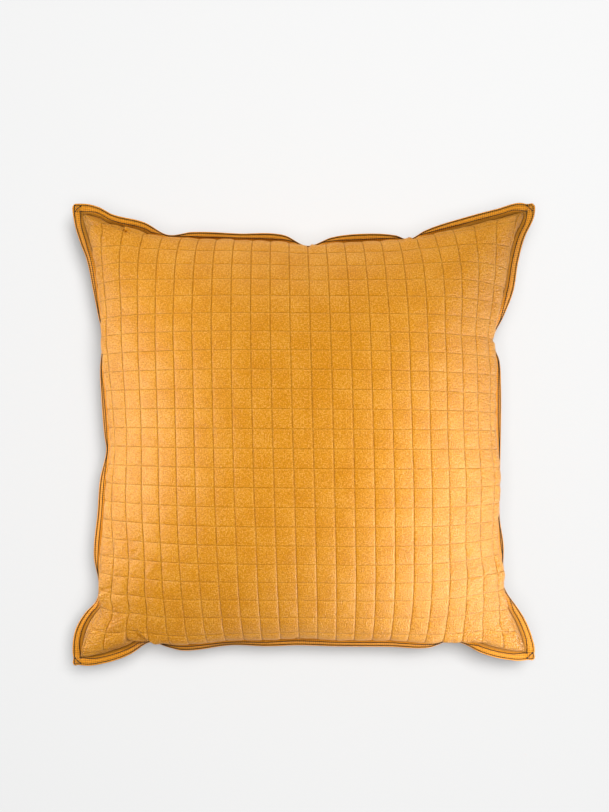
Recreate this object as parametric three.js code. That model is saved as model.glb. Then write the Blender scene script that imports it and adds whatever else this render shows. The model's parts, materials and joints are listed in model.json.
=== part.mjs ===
// A square quilted throw cushion with a flat bound edge, lying on its back.
// Millimetres. X runs to the right across the face, Y up it, and Z out of it, away from the floor.
// One filled body carries the raised quilting on its face. Four mitred strips make the flat edge.
import * as THREE from "three";

const FLANGE_WIDTH = 12;
const FLANGE_THICK = 2.4;
const SEAM_BAND = 3; // height of the sewn edge that the strips butt against
const FIT_GAP = 0.3; // between the strips and the body
const MITRE_GAP = 0.3; // between two strips at a corner
const TIP_REACH = 15.5; // from a seam corner out to the rounded tip of the mitre
const STEEPEST_TILT = 45; // degrees, of a strip that is tucked right under the face

const SEAM_HEIGHT = 62; // of the seam above the floor, at the middle of a side
const CORNER_DROOP = 5; // how much lower the seam lies at the corners
const FACE_CROWN = 90; // of the face above the seam
const BACK_CROWN = 80; // of the back below the seam, before the floor flattens it
const CROWN_POWER = 2.5; // a higher power gives a flatter top and steeper sides
const PANEL_HALF = 243; // half the face between its seams, measured along the cloth
const SIDE_GATHER = 0.05; // share by which the middle of a seam is gathered
const ROLL_START = 0.88; // share of the half panel where the cloth starts to roll under to the seam
const ROLL_RISE = 9; // how far the unrolled cloth would reach past the widest part of the body
const FULL_ROLL = 5; // overhang of the body past the seam that takes the whole of that rise
const ROLL_POWER = 2.2; // how late in its last stretch the cloth turns under

// The quilting is a grid of straight seams. Its first line lies a little off the middle of the panel.
const CELL_WIDE = 20.3;
const CELL_HIGH = 19.9;
const UPRIGHTS = { first: -11, last: 12, offset: -0.55 };
const LEVELS = { first: -12, last: 11, offset: 0.27 };
const UPRIGHT_LEAN = -0.024; // sideways shift of an upright line for each millimetre up the face
const UPRIGHT_DEPTH = 1.8;
const LEVEL_DEPTH = 1.2;

const BACK_SWELL = 0.25; // how far the back swells past the seam, as a share of the face
const BACK_CELLS = 24; // facets across the plain back
const BACK_INSET = 0.97; // share of the half panel where the back's own facets start
const REACH_STEPS = 40; // of the sum along the cloth that gives a point its place
const CORNER_TURNS = 20; // of the search for a seam corner

// Each side, from its left or lower end: how far along it, how far its outer edge lies from the
// middle of the cushion, and how much of the flat edge shows past the swollen face.
const TOP_EDGE = [
  { along: -248, edge: 243.5, shows: 12 },
  { along: -240, edge: 246.5, shows: 12 },
  { along: -220, edge: 243, shows: 11.5 },
  { along: -206, edge: 235.5, shows: 10.5 },
  { along: -170, edge: 226, shows: 10 },
  { along: -147, edge: 213.5, shows: 2.5 },
  { along: -120, edge: 216, shows: 6.5 },
  { along: -70, edge: 214.5, shows: 6.5 },
  { along: -21, edge: 212.5, shows: 6.5 },
  { along: 3, edge: 201.5, shows: 0 },
  { along: 30, edge: 210.5, shows: 5.5 },
  { along: 60, edge: 214, shows: 7.5 },
  { along: 98, edge: 212.5, shows: 4.5 },
  { along: 112, edge: 208.5, shows: 0 },
  { along: 130, edge: 218, shows: 5 },
  { along: 178, edge: 233.5, shows: 8 },
  { along: 206, edge: 241, shows: 9.5 },
  { along: 231, edge: 247.5, shows: 12 },
  { along: 247.5, edge: 244, shows: 12 },
];
const RIGHT_EDGE = [
  { along: -239, edge: 245.5, shows: 12 },
  { along: -232, edge: 247, shows: 12 },
  { along: -219, edge: 244.5, shows: 11.5 },
  { along: -197, edge: 235.5, shows: 10 },
  { along: -184, edge: 227, shows: 6 },
  { along: -170, edge: 217, shows: 1 },
  { along: -158, edge: 212.5, shows: 0 },
  { along: -143, edge: 213, shows: 0 },
  { along: -119, edge: 213.5, shows: 4.5 },
  { along: -90, edge: 209.5, shows: 2 },
  { along: -45, edge: 209.5, shows: 0.5 },
  { along: 0, edge: 210.5, shows: 4 },
  { along: 52, edge: 210.5, shows: 4.5 },
  { along: 78, edge: 209, shows: 3 },
  { along: 101, edge: 202, shows: 0 },
  { along: 125, edge: 213, shows: 4 },
  { along: 152, edge: 223.5, shows: 8 },
  { along: 184, edge: 229, shows: 9 },
  { along: 210, edge: 236, shows: 10.5 },
  { along: 232, edge: 246, shows: 12 },
  { along: 244, edge: 247.5, shows: 12 },
];
const BOTTOM_EDGE = [
  { along: -247, edge: 243.5, shows: 12 },
  { along: -239, edge: 247.5, shows: 12 },
  { along: -213, edge: 245, shows: 12 },
  { along: -186, edge: 235.5, shows: 11 },
  { along: -165, edge: 223, shows: 2.5 },
  { along: -148, edge: 227.5, shows: 4 },
  { along: -131, edge: 231.5, shows: 6 },
  { along: -76, edge: 226, shows: 5 },
  { along: -41, edge: 227, shows: 6 },
  { along: -7, edge: 226, shows: 6.5 },
  { along: 30, edge: 227, shows: 6 },
  { along: 90, edge: 227.5, shows: 6 },
  { along: 134, edge: 228.5, shows: 5 },
  { along: 158, edge: 221.5, shows: 0 },
  { along: 170, edge: 224.5, shows: 2 },
  { along: 190, edge: 234.5, shows: 9 },
  { along: 217, edge: 241.5, shows: 11 },
  { along: 238, edge: 242, shows: 12 },
  { along: 245, edge: 238.5, shows: 12 },
];
const LEFT_EDGE = [
  { along: -243, edge: 246.5, shows: 12 },
  { along: -234, edge: 248, shows: 12 },
  { along: -209, edge: 244.5, shows: 12 },
  { along: -192, edge: 235, shows: 10 },
  { along: -179, edge: 223, shows: 5 },
  { along: -164, edge: 220, shows: 1 },
  { along: -131, edge: 225, shows: 6 },
  { along: -83, edge: 221, shows: 6 },
  { along: -49, edge: 218.5, shows: 6 },
  { along: -17, edge: 212, shows: 3 },
  { along: 0, edge: 214, shows: 4.5 },
  { along: 45, edge: 217.5, shows: 4.5 },
  { along: 70, edge: 218.5, shows: 3 },
  { along: 106, edge: 216, shows: 0 },
  { along: 124, edge: 220, shows: 2.5 },
  { along: 154, edge: 226, shows: 4.5 },
  { along: 187, edge: 233, shows: 6 },
  { along: 204, edge: 239.5, shows: 7.5 },
  { along: 225, edge: 246, shows: 10 },
  { along: 245, edge: 248.5, shows: 12 },
];

const SIDES = {
  top: side(TOP_EDGE, [1, 0], [0, 1]),
  right: side(RIGHT_EDGE, [0, 1], [1, 0]),
  bottom: side(BOTTOM_EDGE, [1, 0], [0, -1]),
  left: side(LEFT_EDGE, [0, 1], [-1, 0]),
};

// A side with smooth curves through its table: measure(along) gives its edge and what shows of it.
function side(rows, tangent, outward) {
  const curve = new THREE.CubicInterpolant(
    rows.map((row) => row.along),
    rows.flatMap((row) => [row.edge, row.shows]),
    2,
  );
  const measure = (along) => {
    const [edge, shows] = curve.evaluate(
      THREE.MathUtils.clamp(along, rows[0].along, rows.at(-1).along),
    );
    const seen = THREE.MathUtils.clamp(shows, 0, FLANGE_WIDTH);
    const tilt = THREE.MathUtils.degToRad(STEEPEST_TILT) * (1 - seen / FLANGE_WIDTH);
    const seam = edge - FLANGE_WIDTH * Math.cos(tilt);
    return { edge, tilt, seam, bulge: edge - seen };
  };
  return { tangent, outward, measure };
}

// The corner where the seams of two sides cross, found by moving to each seam in turn.
function seamCorner(upright, level) {
  const corner = { x: PANEL_HALF * upright.outward[0], y: PANEL_HALF * level.outward[1] };
  for (let turn = 0; turn < CORNER_TURNS; turn++) {
    corner.x = upright.outward[0] * upright.measure(corner.y).seam;
    corner.y = level.outward[1] * level.measure(corner.x).seam;
  }
  return corner;
}

const CORNERS = {
  topLeft: seamCorner(SIDES.left, SIDES.top),
  topRight: seamCorner(SIDES.right, SIDES.top),
  bottomLeft: seamCorner(SIDES.left, SIDES.bottom),
  bottomRight: seamCorner(SIDES.right, SIDES.bottom),
};
Object.assign(SIDES.top, { start: CORNERS.topLeft.x, end: CORNERS.topRight.x });
Object.assign(SIDES.bottom, { start: CORNERS.bottomLeft.x, end: CORNERS.bottomRight.x });
Object.assign(SIDES.right, { start: CORNERS.bottomRight.y, end: CORNERS.topRight.y });
Object.assign(SIDES.left, { start: CORNERS.bottomLeft.y, end: CORNERS.topLeft.y });

// How full the cushion is at a share of the half panel: 1 at the middle, 0 at the seam.
function fullness(share) {
  return 1 - Math.abs(share) ** CROWN_POWER;
}

// Distance from the middle in plan after following the cloth out to a share of the half panel,
// across a section whose own crown is given: the cloth keeps its length, so a slope brings it in.
function planReach(share, crown) {
  let reach = 0;
  const step = (Math.abs(share) * PANEL_HALF) / REACH_STEPS;
  for (let i = 0; i < REACH_STEPS; i++) {
    const part = (Math.abs(share) * (i + 0.5)) / REACH_STEPS;
    const slope = (crown * CROWN_POWER * part ** (CROWN_POWER - 1)) / PANEL_HALF;
    reach += step * Math.sqrt(1 - slope * slope);
  }
  return reach;
}

// A natural reach stretched by the wanted factor at the edge and less inwards, then gathered
// towards the middle of a side as the seam across it is neared.
function fitted(share, across, natural, wanted) {
  const pull = 1 + (wanted - 1) * share ** 4;
  const gather = 1 - SIDE_GATHER * across ** 4 * (1 - share ** 4);
  return natural * pull * gather;
}

// Place along a side's seam of a share of the half panel, counted from the middle of the side.
function alongSeam(place, share) {
  const end = share < 0 ? -place.start : place.end;
  return Math.sign(share) * fitted(share, 1, Math.abs(share) * PANEL_HALF, end / PANEL_HALF);
}

// Distance from the middle towards one side, for cloth at share of the way out and across of the
// way along that side. Near the edge the cloth swells past the seam and rolls back under to it.
function distanceOut(place, share, across, crown, swell) {
  const { seam, bulge } = place.measure(alongSeam(place, across));
  const overhang = swell * (bulge - seam);
  const widest = seam + overhang + ROLL_RISE * Math.min(1, overhang / FULL_ROLL);
  const own = crown * fullness(across);
  const full = planReach(1, own);
  const spread = fitted(share, across, planReach(share, own), widest / full);
  const roll = Math.max(0, (Math.abs(share) - ROLL_START) / (1 - ROLL_START)) ** ROLL_POWER;
  return spread - (widest - seam) * roll;
}

function seamHeight(a, b) {
  return SEAM_HEIGHT - CORNER_DROOP * Math.abs(a * b) ** 6;
}

// A point of the face (facing 1) or the back (facing -1), at the shares a across and b up it.
function panelPoint(a, b, facing) {
  const crown = facing > 0 ? FACE_CROWN : BACK_CROWN;
  const swell = facing > 0 ? 1 : BACK_SWELL;
  const upright = a < 0 ? SIDES.left : SIDES.right;
  const level = b < 0 ? SIDES.bottom : SIDES.top;
  const x = Math.sign(a) * distanceOut(upright, Math.abs(a), b, crown, swell);
  const y = Math.sign(b) * distanceOut(level, Math.abs(b), a, crown, swell);
  const height = seamHeight(a, b) + facing * (SEAM_BAND / 2 + crown * fullness(a) * fullness(b));
  return new THREE.Vector3(x, y, Math.max(0, height));
}

// Places across a panel where the facets meet: its edges, each quilting line and each cell's middle.
// sewn is 1 on a line and 0 elsewhere.
function quiltPlaces(cell, lines) {
  const places = [{ share: -1, sewn: 0 }];
  for (let line = lines.first; line <= lines.last; line++) {
    const at = ((line + lines.offset) * cell) / PANEL_HALF;
    places.push({ share: at, sewn: 1 });
    const middle = at + cell / 2 / PANEL_HALF;
    if (line < lines.last) places.push({ share: middle, sewn: 0 });
  }
  places.push({ share: 1, sewn: 0 });
  return places;
}

const ACROSS = quiltPlaces(CELL_WIDE, UPRIGHTS);
const UP = quiltPlaces(CELL_HIGH, LEVELS);

// Where an upright line that crosses the middle of the face at a stands at the share b up the face.
function leaned(a, b) {
  return a + UPRIGHT_LEAN * b * (1 - a ** 4);
}

// The quilted face as rows of points, sunk along its normal where it is sewn.
function quiltedFace() {
  const smooth = UP.map(({ share: b }) =>
    ACROSS.map(({ share: a }) => panelPoint(leaned(a, b), b, 1)),
  );
  return smooth.map((row, j) =>
    row.map((point, i) => {
      const rim = i === 0 || j === 0 || i === row.length - 1 || j === smooth.length - 1;
      if (rim) return point;
      const along = row[i + 1].clone().sub(row[i - 1]);
      const up = smooth[j + 1][i].clone().sub(smooth[j - 1][i]);
      const normal = along.cross(up).normalize();
      const sunk = UPRIGHT_DEPTH * ACROSS[i].sewn + LEVEL_DEPTH * UP[j].sewn;
      return point.clone().addScaledVector(normal, -sunk);
    }),
  );
}

function plainBack() {
  const shares = Array.from(
    { length: BACK_CELLS + 1 },
    (_, i) => BACK_INSET * ((2 * i) / BACK_CELLS - 1),
  );
  return shares.map((b) => shares.map((a) => panelPoint(a, b, -1)));
}

// The rim of a grid of rows, counterclockwise from its first corner.
function rimOf(rows) {
  const last = rows.length - 1;
  const lastColumn = rows[0].length - 1;
  return [
    ...rows[0].slice(0, lastColumn),
    ...rows.slice(0, last).map((row) => row[lastColumn]),
    ...rows[last].slice(1).reverse(),
    ...rows.slice(1).reverse().map((row) => row[0]),
  ];
}

// Collects triangles and makes one closed geometry of them.
class Shell {
  corners = [];

  triangle(p, q, r) {
    for (const point of [p, q, r]) this.corners.push(point.x, point.y, point.z);
  }

  quad(p, q, r, s) {
    this.triangle(p, q, r);
    this.triangle(p, r, s);
  }

  grid(rows, facing) {
    for (let j = 0; j + 1 < rows.length; j++) {
      for (let i = 0; i + 1 < rows[j].length; i++) {
        const ring = [rows[j][i], rows[j][i + 1], rows[j + 1][i + 1], rows[j + 1][i]];
        this.quad(...(facing > 0 ? ring : ring.reverse()));
      }
    }
  }

  // A band between two counterclockwise rings with different counts, the second below the first.
  // Each step goes forward on the ring that is behind.
  band(upper, lower) {
    let i = 0;
    let j = 0;
    while (i < upper.length || j < lower.length) {
      const above = upper[i % upper.length];
      const below = lower[j % lower.length];
      if (i / upper.length <= j / lower.length) {
        this.triangle(above, below, upper[(i + 1) % upper.length]);
        i++;
      } else {
        this.triangle(above, below, lower[(j + 1) % lower.length]);
        j++;
      }
    }
  }

  geometry() {
    const made = new THREE.BufferGeometry();
    made.setAttribute("position", new THREE.Float32BufferAttribute(this.corners, 3));
    made.computeVertexNormals();
    return made;
  }
}

function bodyGeometry() {
  const face = quiltedFace();
  const back = plainBack();
  const shell = new Shell();
  const seamTop = rimOf(face);
  const seamFoot = seamTop.map((point) => point.clone().setZ(point.z - SEAM_BAND));
  shell.grid(face, 1);
  shell.band(seamTop, seamFoot);
  shell.band(seamFoot, rimOf(back));
  shell.grid(back, -1);
  return shell.geometry();
}

// The rounded outer tip of a mitre, and both ends of the mitre line, moved half the gap towards a side.
function mitre(corner, tangent) {
  const diagonal = new THREE.Vector2(Math.sign(corner.x), Math.sign(corner.y)).normalize();
  const inward = -Math.sign(corner.x * tangent[0] + corner.y * tangent[1]);
  const shift = new THREE.Vector2(...tangent).multiplyScalar(inward * MITRE_GAP * Math.SQRT1_2);
  const inner = new THREE.Vector2(corner.x, corner.y)
    .addScaledVector(diagonal, FIT_GAP * Math.SQRT2)
    .add(shift);
  const outer = new THREE.Vector2(corner.x, corner.y)
    .addScaledVector(diagonal, TIP_REACH)
    .add(shift);
  return { inner, outer };
}

// One strip of the flat edge: a thin ruled band from the seam to the outer edge, tilted down
// wherever the swollen face hides it.
function stripGeometry(place, shares, startCorner, endCorner) {
  const { tangent, outward } = place;
  const at = (along, out) =>
    new THREE.Vector2(tangent[0] * along + outward[0] * out, tangent[1] * along + outward[1] * out);
  const startMitre = mitre(startCorner, tangent);
  const endMitre = mitre(endCorner, tangent);
  const tipAlong = (end) => tangent[0] * end.outer.x + tangent[1] * end.outer.y;
  const sections = shares.map((share) => {
    const along = alongSeam(place, share);
    const { seam, tilt } = place.measure(along);
    let inner = at(along, seam + FIT_GAP);
    const outerAlong = THREE.MathUtils.mapLinear(
      along,
      place.start,
      place.end,
      tipAlong(startMitre),
      tipAlong(endMitre),
    );
    let outer = at(outerAlong, place.measure(outerAlong).edge);
    if (share === -1) ({ inner, outer } = startMitre);
    if (share === 1) ({ inner, outer } = endMitre);
    const height = seamHeight(share, 1);
    const drop = FLANGE_WIDTH * Math.sin(tilt);
    const half = FLANGE_THICK / 2;
    const across = Math.sin(tilt) * half;
    const lift = Math.cos(tilt) * half;
    const point = (plan, facing, z) =>
      new THREE.Vector3(
        plan.x + outward[0] * facing * across,
        plan.y + outward[1] * facing * across,
        z + facing * lift,
      );
    // The lower inner corner would swing into the body, so the inner face stays upright.
    return [
      new THREE.Vector3(inner.x, inner.y, height + half),
      new THREE.Vector3(inner.x, inner.y, height - half),
      point(outer, -1, height - drop),
      point(outer, 1, height - drop),
    ];
  });
  const shell = new Shell();
  // The faces point out on a walk with the outside on its left, so two strips run the other way.
  const forward = tangent[0] * outward[1] - tangent[1] * outward[0] > 0;
  const ordered = forward ? sections : sections.toReversed();
  for (let i = 0; i + 1 < ordered.length; i++) {
    for (let k = 0; k < 4; k++) {
      const next = (k + 1) % 4;
      shell.quad(ordered[i][k], ordered[i][next], ordered[i + 1][next], ordered[i + 1][k]);
    }
  }
  const first = ordered[0];
  const final = ordered.at(-1);
  shell.quad(first[3], first[2], first[1], first[0]);
  shell.quad(...final);
  return shell.geometry();
}

const quiltedCotton = new THREE.MeshStandardMaterial({ color: "#d98f18", roughness: 0.92, metalness: 0 });
const ribbedBinding = new THREE.MeshStandardMaterial({ color: "#c67a10", roughness: 0.85, metalness: 0 });

function named(name, geometry, material) {
  const mesh = new THREE.Mesh(geometry, material);
  mesh.name = name;
  return mesh;
}

const cushion = new THREE.Group();
cushion.add(named("cushion_body", bodyGeometry(), quiltedCotton));
const sharesUp = UP.map(({ share }) => share);
const sharesAcross = (b) => ACROSS.map(({ share }) => leaned(share, b));
const STRIPS = [
  { side: "top", shares: sharesAcross(1), ends: ["topLeft", "topRight"] },
  { side: "right", shares: sharesUp, ends: ["bottomRight", "topRight"] },
  { side: "bottom", shares: sharesAcross(-1), ends: ["bottomLeft", "bottomRight"] },
  { side: "left", shares: sharesUp, ends: ["bottomLeft", "topLeft"] },
];
for (const { side: name, shares, ends } of STRIPS) {
  const geometry = stripGeometry(SIDES[name], shares, CORNERS[ends[0]], CORNERS[ends[1]]);
  cushion.add(named("flange_" + name, geometry, ribbedBinding.clone()));
}

// The origin is the middle of the whole outline, on the floor.
const box = new THREE.Box3().setFromObject(cushion);
const middle = box.getCenter(new THREE.Vector3());
cushion.position.set(-middle.x, -middle.y, -box.min.z);

export default cushion;
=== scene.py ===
import json
import math

import bpy
import numpy as np
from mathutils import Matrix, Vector

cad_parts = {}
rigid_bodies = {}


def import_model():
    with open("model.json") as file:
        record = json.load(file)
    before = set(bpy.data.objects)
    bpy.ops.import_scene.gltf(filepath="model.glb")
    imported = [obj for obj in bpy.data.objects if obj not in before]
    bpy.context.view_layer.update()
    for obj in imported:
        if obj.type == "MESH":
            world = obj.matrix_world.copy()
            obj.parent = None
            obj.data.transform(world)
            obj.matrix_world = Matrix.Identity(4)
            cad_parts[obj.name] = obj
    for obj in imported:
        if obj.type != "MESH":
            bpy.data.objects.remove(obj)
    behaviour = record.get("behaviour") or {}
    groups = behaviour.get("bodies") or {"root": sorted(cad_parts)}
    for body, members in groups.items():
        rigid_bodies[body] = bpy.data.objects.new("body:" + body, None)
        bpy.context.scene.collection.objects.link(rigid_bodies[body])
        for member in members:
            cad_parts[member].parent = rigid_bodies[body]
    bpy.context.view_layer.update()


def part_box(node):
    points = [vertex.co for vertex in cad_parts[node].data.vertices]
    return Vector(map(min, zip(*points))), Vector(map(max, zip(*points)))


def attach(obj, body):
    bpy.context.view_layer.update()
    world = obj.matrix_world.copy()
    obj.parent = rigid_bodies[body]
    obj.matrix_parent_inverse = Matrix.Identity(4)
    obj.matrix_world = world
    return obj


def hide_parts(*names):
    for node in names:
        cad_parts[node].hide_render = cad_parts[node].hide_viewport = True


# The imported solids, in metres, with the cushion lying on its back and its face up along Z.
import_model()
scene = bpy.context.scene
MM = 0.001

# The outline that the cover is sewn to. It is a square panel drawn in between its corners, and each
# side wavers where the sewing has gathered it. A flat bound edge stands out from the seam all round.
FLANGE_WIDTH = 12 * MM
STEEPEST_TILT = math.radians(45)  # of a strip that is tucked right under the face
PANEL_HALF = 243 * MM  # half the face between its seams, measured along the cloth
SIDE_GATHER = 0.05  # share by which the middle of a seam is gathered
TIP_REACH = 15.5 * MM  # from a seam corner out to the rounded tip of the bound edge
MITRE_GAP = 0.3 * MM
FIT_GAP = 0.3 * MM
MOST_SHOWN = 9.3 * MM  # of the flat edge: the face swells over the rest of it
PUFF_ALLOWANCE = 1.5 * MM  # that the puffed cells add to the face's own reach where it is free
# Each side from its left or lower end, in millimetres: how far along it, how far its outer edge
# lies from the middle of the cushion, and how much of the flat edge shows past the swollen face.
TOP_EDGE = [
    (-248, 243.5, 12), (-240, 246.5, 12), (-220, 243, 11.5), (-206, 235.5, 10.5), (-170, 226, 10),
    (-147, 213.5, 2.5), (-120, 216, 6.5), (-70, 214.5, 6.5), (-21, 212.5, 6.5), (3, 201.5, 0),
    (30, 210.5, 5.5), (60, 214, 7.5), (98, 212.5, 4.5), (112, 208.5, 0), (130, 218, 5),
    (178, 233.5, 8), (206, 241, 9.5), (231, 247.5, 12), (247.5, 244, 12),
]
RIGHT_EDGE = [
    (-239, 245.5, 12), (-232, 247, 12), (-219, 244.5, 11.5), (-197, 235.5, 10), (-184, 227, 6),
    (-170, 217, 1), (-158, 212.5, 0), (-143, 213, 0), (-119, 213.5, 4.5), (-90, 209.5, 2),
    (-45, 209.5, 0.5), (0, 210.5, 4), (52, 210.5, 4.5), (78, 209, 3), (101, 202, 0),
    (125, 213, 4), (152, 223.5, 8), (184, 229, 9), (210, 236, 10.5), (232, 246, 12),
    (244, 247.5, 12),
]
BOTTOM_EDGE = [
    (-247, 243.5, 12), (-239, 247.5, 12), (-213, 245, 12), (-186, 235.5, 11), (-165, 223, 2.5),
    (-148, 227.5, 4), (-131, 231.5, 6), (-76, 226, 5), (-41, 227, 6), (-7, 226, 6.5),
    (30, 227, 6), (90, 227.5, 6), (134, 228.5, 5), (158, 221.5, 0), (170, 224.5, 2),
    (190, 234.5, 9), (217, 241.5, 11), (238, 242, 12), (245, 238.5, 12),
]
LEFT_EDGE = [
    (-243, 246.5, 12), (-234, 248, 12), (-209, 244.5, 12), (-192, 235, 10), (-179, 223, 5),
    (-164, 220, 1), (-131, 225, 6), (-83, 221, 6), (-49, 218.5, 6), (-17, 212, 3),
    (0, 214, 4.5), (45, 217.5, 4.5), (70, 218.5, 3), (106, 216, 0), (124, 220, 2.5),
    (154, 226, 4.5), (187, 233, 6), (204, 239.5, 7.5), (225, 246, 10), (245, 248.5, 12),
]


def smooth_curve(at, places, values):
    """A smooth curve through the values at the places: a cubic on each stretch, whose slope at a
    place is the mean of the slopes on its two sides and zero at both ends. Held still past them."""
    wide = (-1,) + (1,) * (values.ndim - 1)
    slopes = np.diff(values, axis=0) / np.diff(places).reshape(wide)
    level = np.zeros_like(values[:1])
    slopes = np.concatenate([level, (slopes[1:] + slopes[:-1]) / 2, level])
    at = np.clip(at, places[0], places[-1])
    i = np.clip(np.searchsorted(places, at, side="right") - 1, 0, len(places) - 2)
    step = places[i + 1] - places[i]
    part = (at - places[i]) / step
    part, step = (v.reshape(v.shape + (1,) * (values.ndim - 1)) for v in (part, step))
    from_start = (1 + 2 * part) * (1 - part) ** 2 * values[i] + part * (1 - part) ** 2 * step * slopes[i]
    to_end = part**2 * (3 - 2 * part) * values[i + 1] + part**2 * (part - 1) * step * slopes[i + 1]
    return from_start + to_end


def side_of(rows, axis, outward):
    """A side's table in metres, the axis that it faces along and whether it faces up or down it."""
    return {"rows": np.array(rows, float) * MM, "axis": axis, "outward": outward}


def measure(side, along):
    """Where a side's outer edge, its seam and the widest part of the face lie at a place along it,
    as distances from the middle, and the strip's tilt: steeper the less of it shows."""
    places, edges, shows = side["rows"].T
    edge = smooth_curve(along, places, edges)
    seen = np.clip(smooth_curve(along, places, shows), 0, FLANGE_WIDTH)
    tilt = STEEPEST_TILT * (1 - seen / FLANGE_WIDTH)
    reach = edge - np.minimum(seen + PUFF_ALLOWANCE * np.minimum(1, seen / 3 / MM), MOST_SHOWN)
    return edge, edge - FLANGE_WIDTH * np.cos(tilt), reach, tilt


def seam_corner(upright, level, turns=20):
    """The point where the seams of two sides cross, found by moving to each seam in turn."""
    x, y = upright["outward"] * PANEL_HALF, level["outward"] * PANEL_HALF
    for _ in range(turns):
        x = upright["outward"] * measure(upright, np.array(y))[1]
        y = level["outward"] * measure(level, np.array(x))[1]
    return np.array([x, y])


TOP, RIGHT = side_of(TOP_EDGE, 1, 1), side_of(RIGHT_EDGE, 0, 1)
BOTTOM, LEFT = side_of(BOTTOM_EDGE, 1, -1), side_of(LEFT_EDGE, 0, -1)
for level in (TOP, BOTTOM):
    level["corners"] = [seam_corner(LEFT, level), seam_corner(RIGHT, level)]
for upright in (LEFT, RIGHT):
    upright["corners"] = [seam_corner(upright, BOTTOM), seam_corner(upright, TOP)]

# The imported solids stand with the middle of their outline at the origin, so the tip of the top left
# corner, which is the far end of two of the solids, tells how far the tables' own middle lies from it.
top_left_tip = TOP["corners"][0] + TIP_REACH / math.sqrt(2) * np.array([-1, 1])
half_mitre = MITRE_GAP / math.sqrt(2)
MIDDLE = np.array([
    top_left_tip[0] + half_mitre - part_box("flange_top")[0].x,
    top_left_tip[1] - half_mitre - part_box("flange_left")[1].y,
    0,
])


# The camera looks straight down at the face. The scale comes from the flat edge, which is 12 mm wide.
VIEW = (609, 812)
PIXEL_SIZE = 1.067 * MM  # of the view, at the height of the flat edge
CUSHION_PIXEL = (304.2, 434)  # where the middle of the tables stands in the view
VIEW_DISTANCE = 1.5  # from the lens down to the flat edge
SENSOR = 36
SEAM_HEIGHT = 62 * MM  # of the seam above the floor, at the middle of a side

camera = bpy.data.objects.new("camera", bpy.data.cameras.new("camera"))
scene.collection.objects.link(camera)
camera.data.sensor_width = SENSOR
camera.data.lens = SENSOR * VIEW_DISTANCE / (VIEW[1] * PIXEL_SIZE)
camera.data.shift_x = (VIEW[0] / 2 - CUSHION_PIXEL[0]) / VIEW[1]
camera.data.shift_y = (CUSHION_PIXEL[1] - VIEW[1] / 2) / VIEW[1]
camera.location = (-MIDDLE[0], -MIDDLE[1], SEAM_HEIGHT + VIEW_DISTANCE)
scene.camera = camera


# The cover. A face panel of washed cotton is quilted to thin wadding in a grid of straight seams,
# then sewn to a plain back panel round the edge, turned and filled. The filling crowns both panels.
FACE_CROWN = 90 * MM  # of the face above the seam
BACK_CROWN = 80 * MM  # of the back below the seam, before the floor flattens it
CROWN_POWER = 2.5  # a higher power gives a flatter top and steeper sides
CORNER_DROOP = 5 * MM
SEAM_BAND = 3 * MM  # height of the sewn edge between the two panels
ROLL_START = 0.88  # share of the half panel where the cloth starts to roll under to the seam
ROLL_POWER = 2.2
ROLL_TURNS = 25  # of the rounds in which the roll's size is found
LEAST_OVERHANG = 1.5 * MM  # past the seam, below which the cloth meets it without a roll
BACK_SWELL = 0.25  # how far the back swells past the seam, as a share of the face
CORNER_FADE = 40  # power of the way along a side at which its swell dies out into the corner
BACK_INSET = 0.985
REACH_STEPS = 40

CELL = (20.27 * MM, 19.94 * MM)  # between the upright seams, and between the level ones
FIRST_LINE, LAST_LINE = (-11, -12), (12, 11)
LINE_OFFSET = (-0.548, 0.272)  # of the line numbered 0 from the middle of the panel, in cells
LINE_LEAN = (-0.0243, -0.0073)  # sideways run of a line for each millimetre along it
# Where handling has pulled the cloth out of square: middle across and up and half sizes, as shares of
# the half panel, and the shift across and up in millimetres. Each shift is towards the middle.
PULLED = [
    (-0.95, -0.56, 0.22, 0.17, 8, 0),
    (-1.00, -0.86, 0.16, 0.22, 4, 12),
    (-1.00, 0.86, 0.16, 0.25, 0, -9),
    (1.00, 0.78, 0.18, 0.22, 0, -8),
    (1.00, -0.75, 0.28, 0.30, 0, 9),
    (-0.78, 1.00, 0.35, 0.16, 6, 0),
    (0.72, 1.00, 0.35, 0.18, -6, 0),
    (0.75, -1.00, 0.35, 0.18, -7, 0),
    (-0.65, -1.00, 0.30, 0.14, 4, 0),
]
PULL_END = 40  # power of the share at which a shift dies out at the rim that it is across
CELL_STEPS = 12  # facets across a cell, crowded towards its seams
RIM_STEPS = 8
CROWDING = 0.6
LOOSE_STEPS = 4  # facets across a cell while the cover settles
LOOSE_RIM = 2
BACK_STEPS = 96


def fullness(share):
    """How full the cushion is at a share of the half panel: 1 at the middle and 0 at the seam."""
    return 1 - np.abs(share) ** CROWN_POWER


def plan_reach(share, crown):
    """Distance from the middle in plan after following the cloth out to a share of the half panel.
    The cloth keeps its length, so a slope brings it in: the sum of the level parts of its steps."""
    parts = (np.arange(REACH_STEPS) + 0.5) / REACH_STEPS
    place = np.abs(share)[..., None] * parts
    slope = np.asarray(crown)[..., None] * CROWN_POWER * place ** (CROWN_POWER - 1) / PANEL_HALF
    return np.abs(share) * PANEL_HALF * np.sqrt(1 - slope**2).mean(axis=-1)


def fitted(share, across, natural, wanted):
    """A natural reach stretched by the wanted factor at the edge and less inwards, then gathered
    towards the middle of a side as the seam across it is neared."""
    return natural * (1 + (wanted - 1) * share**4) * (1 - SIDE_GATHER * across**4 * (1 - share**4))


def along_seam(side, share):
    """Place along a side's seam of a share of the half panel, counted from the side's middle."""
    start, end = (corner[1 - side["axis"]] for corner in side["corners"])
    wanted = np.where(share < 0, -start, end) / PANEL_HALF
    return np.sign(share) * fitted(np.abs(share), 1, np.abs(share) * PANEL_HALF, wanted)


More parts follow.
